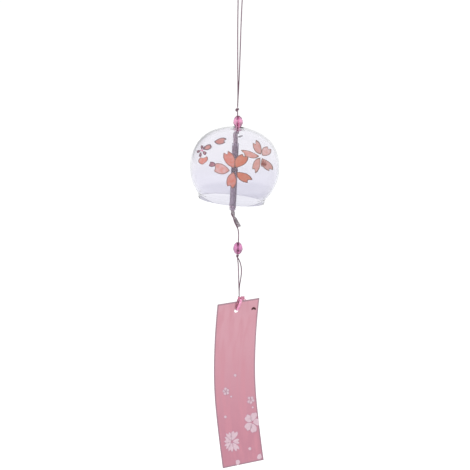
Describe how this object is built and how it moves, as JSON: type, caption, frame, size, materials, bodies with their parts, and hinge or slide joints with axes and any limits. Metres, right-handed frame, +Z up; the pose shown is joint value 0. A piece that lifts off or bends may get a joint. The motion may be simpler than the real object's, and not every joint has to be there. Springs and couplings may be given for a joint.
{
  "type": "wind bell",
  "caption": "Blown glass wind bell on a cord loop, with a glass tube clapper on braided tape, faceted beads and a bowed paper streamer.",
  "frame": {"origin": "inner top of the hanging loop, where a hook carries it", "axes": "+Z up along the hanging cord, +X to the right of someone who faces the bell from -Y"},
  "size_m": [0.08, 0.08, 0.4392],
  "materials": {
    "cord": "thin waxed cord, dusty pink",
    "bead": "faceted translucent pink",
    "bell_glass": "blown clear glass",
    "washer_clear": "soft clear plastic",
    "tube_glass": "clear glass tube, ends fire-polished",
    "tape": "grey-mauve braid",
    "paper": "pink printed card"
  },
  "bodies": {
    "hanger": {"hanging_loop": "cord", "upper_knot": "cord", "hanger_cord": "cord"},
    "upper_bead": {"upper_bead": "bead"},
    "stop_knot": {"stop_knot": "tape"},
    "bell": {"glass_bell": "bell_glass"},
    "washer": {"inner_washer": "washer_clear"},
    "clapper": {"clapper_tube": "tube_glass", "clapper_tape": "tape"},
    "pull_cord": {"tape_tail": "tape", "lower_cord": "cord", "lower_knot": "cord"},
    "lower_bead": {"lower_bead": "bead"},
    "streamer_cord": {"straight_strand": "cord", "slack_strand": "cord"},
    "streamer": {"paper_strip": "paper", "tie_strand_left": "cord", "tie_strand_right": "cord", "tie_knot": "cord"}
  },
  "joints": [
    {"name": "upper_bead_spin", "type": "hinge", "parent": "hanger", "child": "upper_bead", "pos_m": [-0.0021, 0, -0.1181], "axis": [0, 0, 1], "continuous": true},
    {"name": "bell_turn", "type": "hinge", "parent": "hanger", "child": "stop_knot", "pos_m": [-0.00255, 0, -0.12704], "axis": [0, 0, 1], "continuous": true},
    {"name": "bell_rock", "type": "hinge", "parent": "stop_knot", "child": "bell", "pos_m": [-0.00255, 0, -0.12704], "axis": [0, 1, 0], "range_deg": [-15.6, 4.4]},
    {"name": "clapper_turn", "type": "hinge", "parent": "bell", "child": "washer", "pos_m": [-0.00255, 0, -0.12704], "axis": [0.0976, 0, 0.9952], "continuous": true},
    {"name": "clapper_swing", "type": "hinge", "parent": "washer", "child": "clapper", "pos_m": [-0.00255, 0, -0.12704], "axis": [0, 1, 0], "range_deg": [-19.5, 23.2]},
    {"name": "pull_swing", "type": "hinge", "parent": "clapper", "child": "pull_cord", "pos_m": [-0.00699, 0, -0.1971], "axis": [0, 1, 0], "range_deg": [-25, 25]},
    {"name": "lower_bead_spin", "type": "hinge", "parent": "pull_cord", "child": "lower_bead", "pos_m": [-0.0022, 0, -0.2323], "axis": [0, 0, 1], "continuous": true},
    {"name": "streamer_turn", "type": "hinge", "parent": "pull_cord", "child": "streamer_cord", "pos_m": [-0.00265, 0, -0.2393], "axis": [0, 0, 1], "continuous": true},
    {"name": "streamer_flap", "type": "hinge", "parent": "streamer_cord", "child": "streamer", "pos_m": [-0.00104, 0, -0.2782], "axis": [0.891, 0.454, 0], "range_deg": [-35, 35]}
  ]
}
